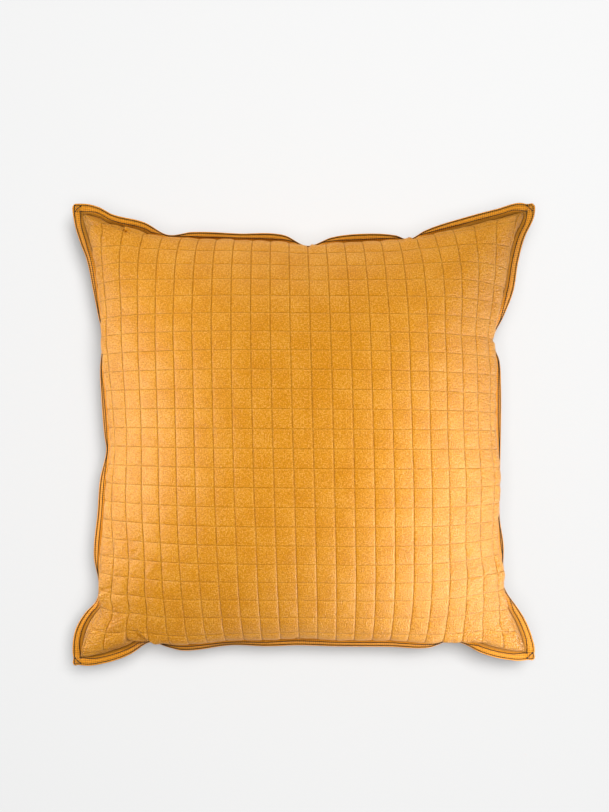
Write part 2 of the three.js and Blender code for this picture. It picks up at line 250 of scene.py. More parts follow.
def unrolled_reach(seam, overhang, own, full, across):
    """How far out the cloth would reach if it didn't roll under. The roll then takes away a power of
    the way past its start, and what is left has its widest point just where the overhang says."""
    rim_slope = PANEL_HALF * np.sqrt(1 - (own * CROWN_POWER / PANEL_HALF) ** 2)
    rise = np.full_like(overhang, PANEL_HALF / 30)
    for _ in range(ROLL_TURNS):
        reach = seam + overhang + rise
        gathered = 4 * (reach - full + reach * SIDE_GATHER * across**4)
        slope = (1 - ROLL_START) * np.maximum(rim_slope * reach / full + gathered, 0)
        drop = overhang + rise
        widest_at = np.clip(slope / (ROLL_POWER * drop), 0, 1) ** (1 / (ROLL_POWER - 1))
        rise = slope * (1 - widest_at) + drop * widest_at**ROLL_POWER
    return seam + overhang + rise * (1 - np.exp(-((overhang / LEAST_OVERHANG) ** 2)))


def distance_out(side, share, across, crown, swell):
    """Distance from the middle towards a side. Near the edge the cloth swells past the seam and
    rolls back under to it, the more the less of the bound edge shows there."""
    edge, seam, bulge, tilt = measure(side, along_seam(side, across))
    own = crown * fullness(across)
    full = plan_reach(np.ones_like(share), own)
    overhang = swell * np.maximum(0, bulge - seam) * (1 - np.abs(across) ** CORNER_FADE)
    reach = unrolled_reach(seam, overhang, own, full, across)
    spread = fitted(share, across, plan_reach(share, own), reach / full)
    roll = np.maximum(0, (share - ROLL_START) / (1 - ROLL_START)) ** ROLL_POWER
    return spread - (reach - seam) * roll


def seam_height(a, b):
    """Height of the seam plane at the shares a across and b up: it droops towards the corners."""
    return SEAM_HEIGHT - CORNER_DROOP * np.abs(a * b) ** 6


def panel(a, b, facing):
    """Points of the face (facing 1) or the back (facing -1) at the shares a across and b up it: the
    two distances out from the middle, and the crown that both fullnesses make together."""
    crown, swell = (FACE_CROWN, 1) if facing > 0 else (BACK_CROWN, BACK_SWELL)
    wide, high = np.abs(a), np.abs(b)
    left, right = (distance_out(side, wide, b, crown, swell) for side in (LEFT, RIGHT))
    bottom, top = (distance_out(side, high, a, crown, swell) for side in (BOTTOM, TOP))
    x, y = np.where(a < 0, -left, right), np.where(b < 0, -bottom, top)
    z = seam_height(a, b) + facing * (SEAM_BAND / 2 + crown * fullness(a) * fullness(b))
    return np.stack([x, y, np.maximum(0, z)], axis=-1) - MIDDLE


def quilt_places(axis, steps, rim_steps, crowding):
    """Places across the panel, counted in cells from the line numbered 0: each cell's steps, drawn
    towards its seams by a sine, and even steps from the outer lines to the rim."""
    first, last = FIRST_LINE[axis], LAST_LINE[axis]
    low, high = (end * PANEL_HALF / CELL[axis] - LINE_OFFSET[axis] for end in (-1, 1))
    part = np.arange(steps) / steps
    part = part - crowding * np.sin(2 * np.pi * part) / (2 * np.pi)
    cells = (np.arange(first, last)[:, None] + part).ravel()
    rims = np.linspace(low, first, rim_steps, endpoint=False), np.linspace(last, high, rim_steps + 1)
    return np.concatenate([rims[0], cells, rims[1]])


def quilt_shares(lines_across, lines_up):
    """Shares of the half panel, across and up, where the quilting's places cross. Each line leans a
    little, and its lean dies out at the rim."""
    s, t = np.meshgrid(lines_across, lines_up)
    a = (s + LINE_OFFSET[0]) * CELL[0] / PANEL_HALF
    b = (t + LINE_OFFSET[1]) * CELL[1] / PANEL_HALF
    return a + LINE_LEAN[0] * b * (1 - a**4), b + LINE_LEAN[1] * a * (1 - b**4)


def pulled(a, b):
    """The shares after the shifts listed above, each a smooth bump that dies out at the rim."""
    across, up = 0, 0
    for middle_a, middle_b, wide, high, shift_a, shift_b in PULLED:
        bump = np.exp(-(((a - middle_a) / wide) ** 2) - ((b - middle_b) / high) ** 2) * MM / PANEL_HALF
        across, up = across + bump * shift_a, up + bump * shift_b
    return a + across * (1 - np.abs(a) ** PULL_END), b + up * (1 - np.abs(b) ** PULL_END)


def normals_of(points):
    """Unit normals of a grid of points: the cross product of its two directions."""
    crossed = np.cross(np.gradient(points, axis=1), np.gradient(points, axis=0))
    return crossed / np.linalg.norm(crossed, axis=-1, keepdims=True)


def grid_faces(rows, columns, flipped=False):
    """Corner numbers of the quads of a grid of points that is stored row by row."""
    i, j = np.meshgrid(np.arange(columns - 1), np.arange(rows - 1))
    corner = (j * columns + i).ravel()
    quads = np.stack([corner, corner + 1, corner + columns + 1, corner + columns], axis=1)
    return quads[:, ::-1] if flipped else quads


def rim_of(rows, columns):
    """Numbers of a grid's rim points, counterclockwise from the first corner, and the place of each
    on the rim: the side's number plus the share of that side's steps."""
    number = np.arange(rows * columns).reshape(rows, columns)
    sides = number[0, :-1], number[:-1, -1], number[-1, :0:-1], number[:0:-1, 0]
    places = [k + np.arange(len(side)) / len(side) for k, side in enumerate(sides)]
    return np.concatenate(sides), np.concatenate(places)


def zip_rings(upper, upper_places, lower, lower_places):
    """Triangles between two rings of points with different counts, the second below the first. The
    steps of both rings are taken in the order of their places, and each adds one triangle."""
    order = np.argsort(np.concatenate([upper_places, lower_places]), kind="stable")
    is_upper = order < len(upper)
    i = np.cumsum(is_upper) - is_upper
    j = np.cumsum(~is_upper) - ~is_upper
    ahead_upper = upper[(i + 1) % len(upper)]
    ahead_lower = lower[(j + 1) % len(lower)]
    here = upper[i % len(upper)], lower[j % len(lower)]
    return np.stack([here[0], here[1], np.where(is_upper, ahead_upper, ahead_lower)], axis=1)


def add_mesh(name, points, face_lists, **maps):
    """A new object with the points, the faces of each list and a UV map for each further name given,
    from two numbers for each point. Its faces are shaded smooth."""
    mesh = bpy.data.meshes.new(name)
    faces = [face for faces in face_lists for face in faces.tolist()]
    mesh.from_pydata(points.reshape(-1, 3).tolist(), [], faces)
    corners = np.concatenate([faces.ravel() for faces in face_lists])
    for key, places in maps.items():
        layer = mesh.uv_layers.new(name=key)
        layer.uv.foreach_set("vector", places.reshape(-1, 2)[corners].astype(np.float32).ravel())
    mesh.polygons.foreach_set("use_smooth", np.ones(len(mesh.polygons), bool))
    mesh.update()
    piece = bpy.data.objects.new(name, mesh)
    scene.collection.objects.link(piece)
    return piece


SETTLE_FRAMES = 20
SETTLE_PRESSURE = 4
MOST_SETTLING = 9 * MM


def settled(face, back, a, b):
    """How far each point of the two panels moves when the filling presses the loose cover out. The
    cloth is cut flat, at its size along the cloth, so it puckers where the outline crowds it. The
    rim stays sewn where it is, and no point moves further than the cap."""
    rows, columns = a.shape
    count = rows * columns
    rim, places = rim_of(rows, columns)
    faces = [grid_faces(rows, columns), grid_faces(rows, columns, flipped=True) + count]
    around = np.roll(rim, -1)
    faces.append(np.stack([rim, rim + count, around + count, around], axis=1))
    piece = add_mesh("loose_cover", np.concatenate([face.reshape(-1, 3), back.reshape(-1, 3)]), faces)
    sewn = piece.vertex_groups.new(name="sewn")
    sewn.add(np.concatenate([rim, rim + count]).tolist(), 1, "REPLACE")
    piece.shape_key_add(name="filled")
    cut = piece.shape_key_add(name="cut")
    flat = np.stack([a * PANEL_HALF, b * PANEL_HALF, 0 * a], axis=-1)
    flat = np.stack([flat, flat - [0, 0, SEAM_BAND]])
    cut.data.foreach_set("co", flat.astype(np.float32).ravel())
    cloth = piece.modifiers.new("settle", "CLOTH")
    cloth.settings.use_pressure = True
    cloth.settings.uniform_pressure_force = SETTLE_PRESSURE
    cloth.settings.effector_weights.gravity = 0
    cloth.settings.vertex_group_mass = sewn.name
    cloth.settings.rest_shape_key = cut
    cloth.settings.bending_stiffness = 2
    cloth.collision_settings.use_collision = False
    cloth.point_cache.frame_start, cloth.point_cache.frame_end = 1, SETTLE_FRAMES
    for number in range(1, SETTLE_FRAMES + 1):
        scene.frame_set(number)
    shown = piece.evaluated_get(bpy.context.evaluated_depsgraph_get()).data
    points = np.empty(6 * count, np.float32)
    shown.vertices.foreach_get("co", points)
    scene.frame_set(1)
    bpy.data.objects.remove(piece)
    moved = points.reshape(2, rows, columns, 3) - np.stack([face, back])
    length = np.linalg.norm(moved, axis=-1, keepdims=True)
    return moved * MOST_SETTLING * np.tanh(length / MOST_SETTLING) / np.maximum(length, 1e-9)


loose_across, loose_up = (quilt_places(axis, LOOSE_STEPS, LOOSE_RIM, 0) for axis in (0, 1))
loose_a, loose_b = quilt_shares(loose_across, loose_up)
settling = np.zeros((2,) + loose_a.shape + (3,))
settling = settled(panel(loose_a, loose_b, 1), panel(loose_a, loose_b, -1), loose_a, loose_b)


def settling_at(side, across, up):
    """The settled movement of one panel at finer places, by smooth curves through the loose grid."""
    along_rows = smooth_curve(up, loose_up, settling[side])
    return np.swapaxes(smooth_curve(across, loose_across, np.swapaxes(along_rows, 0, 1)), 0, 1)


def rumple(x, y, size, seed):
    """Smooth random heights from -1 to 1: random values at the corners of squares of the given size,
    eased between them."""
    lattice = np.random.default_rng(seed).uniform(-1, 1, (256, 256))
    u, v = x / size, y / size
    i, j = np.floor(u).astype(int), np.floor(v).astype(int)
    u, v = u - i, v - j
    u, v = (part**3 * (part * (6 * part - 15) + 10) for part in (u, v))
    near, far = lattice[i % 256, j % 256], lattice[(i + 1) % 256, j % 256]
    near_up, far_up = lattice[i % 256, (j + 1) % 256], lattice[(i + 1) % 256, (j + 1) % 256]
    return (near * (1 - u) + far * u) * (1 - v) + (near_up * (1 - u) + far_up * u) * v


# Depths are in metres off the smooth face. A seam pulls the cloth down in a sharp crease with a
# soft shoulder, and the upright seams, which were sewn last, pull deeper than the level ones.
CREASE_DEPTH = (0.26 * MM, 0.15 * MM)
CREASE_WIDTH = (1.2 * MM, 1.0 * MM)
SHOULDER_DEPTH = (0.38 * MM, 0.23 * MM)
SHOULDER_WIDTH = (3.2 * MM, 2.6 * MM)
PUFF_HEIGHT = 0.4 * MM
RIM_PUFF = 1.6  # how much higher the cells stand near the rim, where the panel is less taut
SEAM_EASE = 3.5 * MM  # from the rim, within which the relief dies out
WANDER = (0.0016, 0.0012)  # of the seams off their straight lines, as shares of the half panel
WANDER_SIZE = 55 * MM
BACK_CREASES = (0.6 * MM, 38 * MM)  # height and spacing of the plain back's loose creases
# Patches where washing has crumpled the cells: middle across and up and half sizes, as shares of
# the half panel, the ridges' direction in degrees, their height and spacing in millimetres.
CRUMPLED = [
    (-0.72, -0.62, 0.30, 0.30, 48, 0.8, 7),
    (-0.90, -0.30, 0.14, 0.45, 75, 0.5, 6),
    (-0.86, -0.93, 0.30, 0.14, 12, 0.7, 6),
    (0.86, -0.35, 0.22, 0.55, 38, 0.6, 6),
    (0.80, -0.85, 0.30, 0.22, 55, 0.7, 7),
    (0.20, 0.90, 0.34, 0.10, 2, 0.5, 5),
    (0.86, 0.45, 0.18, 0.35, 60, 0.35, 6),
    (-0.70, 0.92, 0.35, 0.12, 20, 0.5, 7),
]
CRUMPLE_EVERYWHERE = 0.14 * MM
GATHER_HEIGHT = 0.9 * MM
GATHER_SPACING = 8 * MM
GATHER_REACH = 22 * MM
# Single folds: both ends across and up as shares of the half panel, depth and half width in
# millimetres. The cloth sinks on the line and rises beside it, on the side that the sign says.
FOLDS = [
    (-0.715, -0.90, -0.655, -0.985, 3.2, 3.0, 1),
    (-0.805, 0.985, -0.785, 0.93, 2.8, 2.4, 1),
    (-0.86, 0.955, -0.79, 0.92, 1.6, 2.5, -1),
    (-0.045, -1.0, -0.035, -0.955, 2.0, 2.0, -1),
    (0.02, 1.0, 0.02, 0.93, 1.6, 3.0, 1),
    (0.50, 1.0, 0.49, 0.93, 1.6, 3.0, -1),
    (0.98, -0.93, 0.90, -0.86, 1.8, 3.0, 1),
    (0.98, 0.42, 0.92, 0.42, 1.5, 3.0, 1),
    (-0.98, -0.72, -0.90, -0.69, 1.6, 3.0, -1),
]


def sewn_channel(axis, places):
    """How far the seams across one axis pull the cloth down, as a crease plus a shoulder that both
    die out with the distance from the nearest line."""
    line = np.clip(np.round(places), FIRST_LINE[axis], LAST_LINE[axis])
    away = np.abs(places - line) * CELL[axis]
    crease = np.exp(-away / CREASE_WIDTH[axis])
    shoulder = np.exp(-away / SHOULDER_WIDTH[axis])
    return CREASE_DEPTH[axis] * crease + SHOULDER_DEPTH[axis] * shoulder


def crumpled_cells(s, t, a, b):
    """Wrinkles inside the cells: ridges of random heights stretched along each patch's direction,
    shifted at random from cell to cell, and held down at the seams."""
    x, y = a * PANEL_HALF, b * PANEL_HALF
    random = np.random.default_rng(31)
    column, row = (np.floor(places).astype(int) + 20 for places in (s, t))
    shift = random.uniform(0, 40 * MM, (2, 60, 60))[:, column, row]
    liveliness = random.uniform(0.35, 1.3, (60, 60))[column, row]
    held = np.abs(np.sin(np.pi * s)) ** 0.5 * np.abs(np.sin(np.pi * t)) ** 0.5
    total = CRUMPLE_EVERYWHERE * rumple(x + shift[0], y + shift[1], 7 * MM, 5)
    for k, (across, up, wide, high, turned, height, spacing) in enumerate(CRUMPLED):
        weight = np.exp(-(((a - across) / wide) ** 2) - ((b - up) / high) ** 2)
        turn = math.radians(turned) + 0.35 * rumple(x, y, 45 * MM, 60 + k)
        run = (x + shift[0]) * np.cos(turn) + (y + shift[1]) * np.sin(turn)
        over = (y + shift[1]) * np.cos(turn) - (x + shift[0]) * np.sin(turn)
        ridges = 1 - 2 * np.abs(rumple(run / 2.6, over, spacing * MM, 80 + k)) ** 0.8
        total = total + height * MM * weight * ridges
    return total * held * liveliness


def edge_gathers(a, b):
    """Small gathers that run in from the rim, where the seam holds more cloth than its length: random
    ridges across the rim that die out inwards."""
    x, y = a * PANEL_HALF, b * PANEL_HALF
    total = 0
    for k, (along, share) in enumerate(((y, a), (x, b))):
        inwards = PANEL_HALF * (1 - np.abs(share))
        ridges = rumple(along, inwards / 5 + np.sign(share) * MM * 90, GATHER_SPACING, 40 + k)
        total = total + ridges * np.exp(-inwards / GATHER_REACH)
    return GATHER_HEIGHT * total


def single_folds(a, b):
    """The tucks listed above: the cloth sinks along a short line and rises beside it."""
    total = 0
    for x0, y0, x1, y1, depth, half_width, side in FOLDS:
        run = np.array([x1 - x0, y1 - y0]) * PANEL_HALF
        length = np.hypot(*run)
        run = run / length
        x, y = (a - x0) * PANEL_HALF, (b - y0) * PANEL_HALF
        along = x * run[0] + y * run[1]
        over = side * (y * run[0] - x * run[1]) / (half_width * MM)
        past = np.maximum(0, np.abs(along - length / 2) - length / 2) / (3 * half_width * MM)
        shape = 0.6 * np.exp(-((over - 1.3) ** 2)) - np.exp(-((over / 0.6) ** 2))
        total = total + depth * MM * shape * np.exp(-(past**2))
    return total


def quilted_face():
    """The finished face as a grid of points, its cloth coordinates and its places counted in quilted
    cells: the settled panel, with the relief of channels, puffs, wrinkles and folds off its normal."""
    across, up = (quilt_places(axis, CELL_STEPS, RIM_STEPS, CROWDING) for axis in (0, 1))
    s, t = np.meshgrid(across, up)
    a, b = quilt_shares(across, up)
    wander = WANDER[0] * rumple(b * PANEL_HALF, s * CELL[0], WANDER_SIZE, 11)
    climb = WANDER[1] * rumple(a * PANEL_HALF, t * CELL[1], WANDER_SIZE, 12)
    a, b = pulled(a + wander * (1 - a**8), b + climb * (1 - b**8))
    points = panel(a, b, 1) + settling_at(0, across, up)
    upright, level = sewn_channel(0, s), sewn_channel(1, t)
    fold_s, fold_t = (2 * np.abs(places - np.floor(places) - 0.5) for places in (s, t))
    inside = (1 - fold_s**2.5) * (1 - fold_t**2.5)
    edge_share = np.maximum(np.abs(a), np.abs(b))
    slack = 1 + (RIM_PUFF - 1) * edge_share**4
    puffs = PUFF_HEIGHT * inside * slack
    to_rim = PANEL_HALF * (1 - edge_share)
    ease = 1 - np.exp(-((to_rim / SEAM_EASE) ** 2))
    sunk = np.hypot(upright, level)
    relief = (puffs - sunk * slack**0.5 + crumpled_cells(s, t, a, b) + edge_gathers(a, b)) * ease
    relief = relief + single_folds(a, b) * ease
    points = points + relief[..., None] * normals_of(points)
    cloth = np.stack([a, b], axis=-1) * PANEL_HALF
    return points, cloth, np.stack([s, t], axis=-1)


def plain_back():
    """The back panel as a grid of points and its cloth coordinates, with the gathers of its rim."""
    share = BACK_INSET * np.linspace(-1, 1, BACK_STEPS + 1)
    a, b = np.meshgrid(share, share)
    places = [share * PANEL_HALF / CELL[axis] - LINE_OFFSET[axis] for axis in (0, 1)]
    points = panel(a, b, -1) + settling_at(1, *places)
    to_rim = PANEL_HALF * (1 - np.maximum(np.abs(a), np.abs(b)))
    ease = 1 - np.exp(-((to_rim / SEAM_EASE) ** 2))
    creases = BACK_CREASES[0] * rumple(a * PANEL_HALF, b * PANEL_HALF, BACK_CREASES[1], 21)
    relief = (edge_gathers(a, b) + creases) * ease
    points = points + relief[..., None] * normals_of(points) * -1
    points[..., 2] = np.maximum(points[..., 2], 0)
    return points, np.stack([a + 2.2, b], axis=-1) * PANEL_HALF


face_points, face_cloth, face_cells = quilted_face()
back_points, back_cloth = plain_back()
face_rows, face_columns = face_cells.shape[:2]
back_start = face_rows * face_columns
foot_start = back_start + back_points.shape[0] * back_points.shape[1]
face_rim, rim_places = rim_of(face_rows, face_columns)
back_rim, back_places = rim_of(*back_points.shape[:2])
rim_foot = face_points.reshape(-1, 3)[face_rim] - [0, 0, SEAM_BAND]
foot = foot_start + np.arange(len(face_rim))
band = np.stack([face_rim, foot, np.roll(foot, -1), np.roll(face_rim, -1)], axis=1)
cover_points = np.concatenate([face_points.reshape(-1, 3), back_points.reshape(-1, 3), rim_foot])
cover_cloth = np.concatenate(
    [face_cloth.reshape(-1, 2), back_cloth.reshape(-1, 2), face_cloth.reshape(-1, 2)[face_rim]]
)
# The back isn't quilted, so its places lie far off the quilting's lines.
OFF_THE_LINES = 99.0
unquilted = np.full((len(cover_points) - back_start, 2), OFF_THE_LINES)
cover_cells = np.concatenate([face_cells.reshape(-1, 2), unquilted])
cover = add_mesh(
    "quilted_cover",
    cover_points,
    [
        grid_faces(face_rows, face_columns),
        grid_faces(*back_points.shape[:2], flipped=True) + back_start,
        band,
        zip_rings(foot, rim_places, back_start + back_rim, back_places),
    ],
    cloth=cover_cloth,
    quilting=cover_cells,
)


def linear(colour):
    """A colour given as sRGB hex, as the linear numbers that a shader takes."""
    parts = (int(colour[i:i + 2], 16) / 255 for i in (1, 3, 5))
    return (*(p / 12.92 if p <= 0.04045 else ((p + 0.055) / 1.055) ** 2.4 for p in parts), 1)


def add_node(tree, kind, sockets=(), **settings):
    """A new node with its settings. sockets gives a value or another node's output for inputs, by
    their name or number."""
    made = tree.nodes.new("ShaderNode" + kind)
    for key, value in settings.items():
        setattr(made, key, value)
    for key, value in dict(sockets).items():
        if isinstance(value, bpy.types.NodeSocket):
            tree.links.new(value, made.inputs[key])
        else:
            made.inputs[key].default_value = value
    return made


def new_material(name):
    """A material with an empty node tree that ends in a Principled shader, and that shader."""
    material = bpy.data.materials.new(name)
    material.use_nodes = True
    return material, material.node_tree, material.node_tree.nodes["Principled BSDF"]


def set_sockets(shader, **values):
    """Sets constants on a shader's own sockets, where a word's underscores stand for spaces."""
    for key, value in values.items():
        shader.inputs[key.replace("_", " ")].default_value = value


# Stone washed cotton, plain woven from slubby yarn and dyed after quilting. Raised yarn is paler, the
# seams carry painted shade and a painted highlight beside each, and a short fuzz lights up aslant.
CREASE_BUMP = 0.9  # mm, height of the fine creases where the cover is slackest
CREASED_BASE = 0.12  # share of it everywhere
# Bands of slack cloth: across (0) or up (1), middle and half width in mm, and their share.
CREASED = [(0, 243, 170, 0.75), (0, -243, 95, 0.6), (1, -243, 110, 0.4), (1, 243, 50, 0.3)]
CREASE_TURN = -42  # degrees, so that the creases run up to the right
CREASE_SIZE = (9, 2.3)  # mm along a crease and across it
CREASE_FROM_NOISE = 1.6  # height of a crease for the noise's range, before its own factor
THREAD_PITCH = 0.62  # mm between threads, which is finer than the view shows
SHADE_CHANGE = (30, 26)  # mm, size of the slow change of shade
FLECK = 1.8  # mm, the pale flecks that a few threads make together, as coarse as the view shows them
SEAM_SHADE_COLOURS = ("#D6CF90", "#E2DCAC")  # painted shade: the cloth's own colour is multiplied by these in the two sets of seams
SEAM_LINE = (1.0, 0.8)  # mm to each side of a seam over which it is creased and darkened with painted shade
SEAM_CREASE = (0.3, 0.16)  # mm
CROSSING = 1.7  # mm from a crossing, within which the seams are shallow and lose their painted shade
CROSSING_FADE = 0.75  # share of a seam's painted shade and crease that is lost at a crossing
# The painted highlight beside each seam: its half width, its place and its share.
LIGHT_HALF_WIDTH = 0.9  # mm
LIGHT_LINE = (-1.7, -1.3)  # mm beside a seam, where a painted highlight stands for the lit wall of the channel
LIGHT_SHARE = (0.16, 0.16)


def washed_cotton():
    """The cover's material, on the cloth's own coordinates in millimetres."""
    material, tree, shader = new_material("washed_cotton")
    cloth = add_node(tree, "UVMap", uv_map="cloth").outputs[0]
    mm = add_node(tree, "VectorMath", {0: cloth, 1: (1000, 1000, 1000)}, operation="MULTIPLY").outputs[0]

    def combine(first, second, how):
        return add_node(tree, "Math", {0: first, 1: second}, operation=how).outputs[0]

    def streaks(across, along, detail, roughness):
        stretched = add_node(tree, "Mapping", {"Vector": mm, "Scale": (1 / across, 1 / along, 1)})
        return add_node(
            tree, "TexNoise",
            {"Vector": stretched.outputs[0], "Scale": 1, "Detail": detail, "Roughness": roughness},
            noise_dimensions="2D",
        ).outputs["Fac"]

    def threads(direction):
        return add_node(
            tree, "TexWave",
            {"Vector": mm, "Scale": 2 * math.pi / 20 / THREAD_PITCH, "Distortion": 0.6, "Detail": 1},
            bands_direction=direction,
        ).outputs["Fac"]

    def seam(place, axis, half_width, beside=0):
        """1 at a distance beside the nearest seam across an axis, falling smoothly to 0."""
        line = combine(place, 0, "ROUND")
        line = combine(combine(line, FIRST_LINE[axis], "MAXIMUM"), LAST_LINE[axis], "MINIMUM")
        millimetres = combine(combine(place, line, "SUBTRACT"), CELL[axis] / MM, "MULTIPLY")
        away = combine(combine(millimetres, beside, "SUBTRACT"), 0, "ABSOLUTE")
        return add_node(
            tree, "MapRange", {"Value": away, "From Max": half_width, "To Min": 1, "To Max": 0},
            interpolation_type="SMOOTHSTEP",
        ).outputs[0]

    cells = add_node(tree, "UVMap", uv_map="quilting").outputs[0]
    places = add_node(tree, "SeparateXYZ", {"Vector": cells}).outputs
    crossings = [seam(places[1 - axis], 1 - axis, CROSSING) for axis in (0, 1)]
    between = [combine(combine(crossings[axis], -CROSSING_FADE, "MULTIPLY"), 1, "ADD") for axis in (0, 1)]
    lines = [seam(places[axis], axis, SEAM_LINE[axis]) for axis in (0, 1)]
    seams = [combine(lines[axis], between[axis], "MULTIPLY") for axis in (0, 1)]
    beside = [seam(places[axis], axis, LIGHT_HALF_WIDTH, LIGHT_LINE[axis]) for axis in (0, 1)]
    # Fine grain of single yarns, paler flecks of two or three together, and a slow change of shade.
    grain = streaks(0.7 * FLECK, 0.7 * FLECK, 1, 0.6)
    weft, warp = streaks(1.9 * FLECK, 0.7 * FLECK, 1, 0.6), streaks(0.7 * FLECK, 1.9 * FLECK, 1, 0.6)
    flecks = combine(combine(weft, warp, "ADD"), combine(grain, 2, "MULTIPLY"), "ADD")
    slow = combine(streaks(*SHADE_CHANGE, 2, 0.5), 0.15, "MULTIPLY")
    fade = combine(combine(flecks, 0.25, "MULTIPLY"), slow, "ADD")
    colour = add_node(tree, "ValToRGB", {"Fac": fade})
    ramp = colour.color_ramp
    ramp.elements[0].position, ramp.elements[0].color = 0.47, linear("#CF8002")
    ramp.elements[1].position, ramp.elements[1].color = 0.72, linear("#EFAC48")
    middle = ramp.elements.new(0.585)
    middle.color = linear("#E29508")
    shade = colour.outputs["Color"]
    # Painted shade multiplied into the seams, and a painted highlight mixed in beside each.
    for axis in (0, 1):
        shade = add_node(
            tree, "MixRGB", {"Fac": seams[axis], "Color1": shade, "Color2": linear(SEAM_SHADE_COLOURS[axis])},
            blend_type="MULTIPLY",
        ).outputs["Color"]
        # painted highlight beside the seam, where the channel's wall would catch the light
        painted_highlight = combine(beside[axis], LIGHT_SHARE[axis], "MULTIPLY")
        shade = add_node(
            tree, "MixRGB", {"Fac": painted_highlight, "Color1": shade, "Color2": linear("#FFC356")},
        ).outputs["Color"]
    tree.links.new(shade, shader.inputs["Base Color"])
    set_sockets(
        shader, Roughness=0.46, Specular_IOR_Level=0.17, Sheen_Weight=0.2, Sheen_Roughness=0.3,
        Sheen_Tint=linear("#FFF0D8"),
    )
    # Creases of the wash, slanting and finer than the relief of the mesh, where the cover is slack.
    turned = add_node(
        tree, "Mapping",
        {"Vector": mm, "Rotation": (0, 0, math.radians(CREASE_TURN)),
         "Scale": (1 / CREASE_SIZE[0], 1 / CREASE_SIZE[1], 1)},
    ).outputs[0]
    creases = add_node(
        tree, "TexNoise", {"Vector": turned, "Scale": 1, "Detail": 2, "Roughness": 0.6, "Distortion": 0.2},
        noise_dimensions="2D",
    ).outputs["Fac"]
    creases = combine(creases, CREASE_FROM_NOISE, "MULTIPLY")
    spots = add_node(tree, "SeparateXYZ", {"Vector": mm}).outputs
    slack = CREASED_BASE
    for axis, middle, half_width, share in CREASED:
        away = combine(combine(spots[axis], middle, "SUBTRACT"), 0, "ABSOLUTE")
        near = add_node(
            tree, "MapRange", {"Value": away, "From Max": half_width, "To Min": share, "To Max": 0},
            interpolation_type="SMOOTHSTEP",
        ).outputs[0]
        slack = combine(near, slack, "ADD")
    creases = combine(creases, combine(slack, CREASE_BUMP, "MULTIPLY"), "MULTIPLY")
    weave = combine(combine(threads("X"), threads("Y"), "ADD"), 0.04, "MULTIPLY")
    raised = combine(combine(slack, 0.3, "MULTIPLY"), 0.2, "ADD")
    height = combine(combine(weave, combine(flecks, raised, "MULTIPLY"), "ADD"), creases, "ADD")
    for axis in (0, 1):
        height = combine(height, combine(seams[axis], SEAM_CREASE[axis], "MULTIPLY"), "SUBTRACT")
    bump = add_node(tree, "Bump", {"Height": height, "Distance": MM, "Strength": 1})
    tree.links.new(bump.outputs[0], shader.inputs["Normal"])
    return material


cover.data.materials.append(washed_cotton())
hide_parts("cushion_body")
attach(cover, "root")


# The quilting seams. One cotton thread of the cover's own colour runs along the bottom of every
# channel in a lock stitch, and pulls the face panel down to the wadding.
QUILT_PITCH = 2.8 * MM
QUILT_STITCH = (2.3 * MM, 0.38 * MM)  # length and thickness of the thread that shows
QUILT_SIDES = 4
QUILT_ARCH = 0.12 * MM
PLY_SCALE = 2 * math.pi / 20 / 0.5  # one ply each half millimetre along the thread


def evenly_along(path, pitch):
    """Points on a path at an even pitch, and the path's direction there. Further columns of the path
    are carried along, and come back between the two."""
    steps = np.linalg.norm(np.diff(path[:, :3], axis=0), axis=1)
    run = np.concatenate([[0], np.cumsum(steps)])
    at = np.arange(pitch / 2, run[-1], pitch)
    found = np.stack([np.interp(at, run, column) for column in path.T], axis=1)
    ahead = np.stack([np.interp(at + pitch / 4, run, column) for column in path[:, :3].T], axis=1)
    behind = np.stack([np.interp(at - pitch / 4, run, column) for column in path[:, :3].T], axis=1)
    direction = ahead - behind
    return found, direction / np.linalg.norm(direction, axis=1, keepdims=True)


def stitches(name, centres, directions, normals, size, sides, arch):
    """One mesh of many stitches: a short thread along each direction, round in section, thickest in
    its middle, arched up off the cloth by the given height and dipping into it at both ends."""
    length, thick = size
    turn = np.linspace(-math.pi / 2, math.pi / 2, 6)[1:-1]
    along = np.concatenate([[-1], np.sin(turn), [1]])
    round_about = np.arange(sides) * 2 * math.pi / sides
    across = np.concatenate([[0], np.repeat(np.cos(turn) ** 0.5, sides), [0]]) * thick / 2
    along_points = np.concatenate([[-1], np.repeat(np.sin(turn), sides), [1]])
    around = np.concatenate([[0], np.tile(round_about, len(turn)), [0]])
    beside = np.cross(normals, directions)
    beside /= np.linalg.norm(beside, axis=1, keepdims=True)
    upward = np.cross(directions, beside)
    lift = arch * (1 - 2 * along_points**2) + across * np.sin(around)
    points = (
        centres[:, None]
        + directions[:, None] * (along_points * length / 2)[None, :, None]
        + beside[:, None] * (across * np.cos(around))[None, :, None]
        + upward[:, None] * lift[None, :, None]
    )
    rings = 1 + np.arange(len(turn) * sides).reshape(len(turn), sides)
    ahead = np.roll(rings, -1, axis=1)
    quads = np.stack([rings[:-1], ahead[:-1], ahead[1:], rings[1:]], axis=-1).reshape(-1, 4)
    last = len(along_points) - 1
    caps = np.concatenate([
        np.stack([0 * rings[0], ahead[0], rings[0]], axis=1),
        np.stack([0 * rings[0] + last, rings[-1], ahead[-1]], axis=1),
    ])
    starts = np.arange(len(centres))[:, None, None] * len(along_points)
    uv = np.stack([along_points * length / 2, around * thick / 2], axis=1)
    return add_mesh(
        name, points, [(quads + starts).reshape(-1, 4), (caps + starts).reshape(-1, 3)],
        cloth=np.tile(uv, (len(centres), 1)),
    )


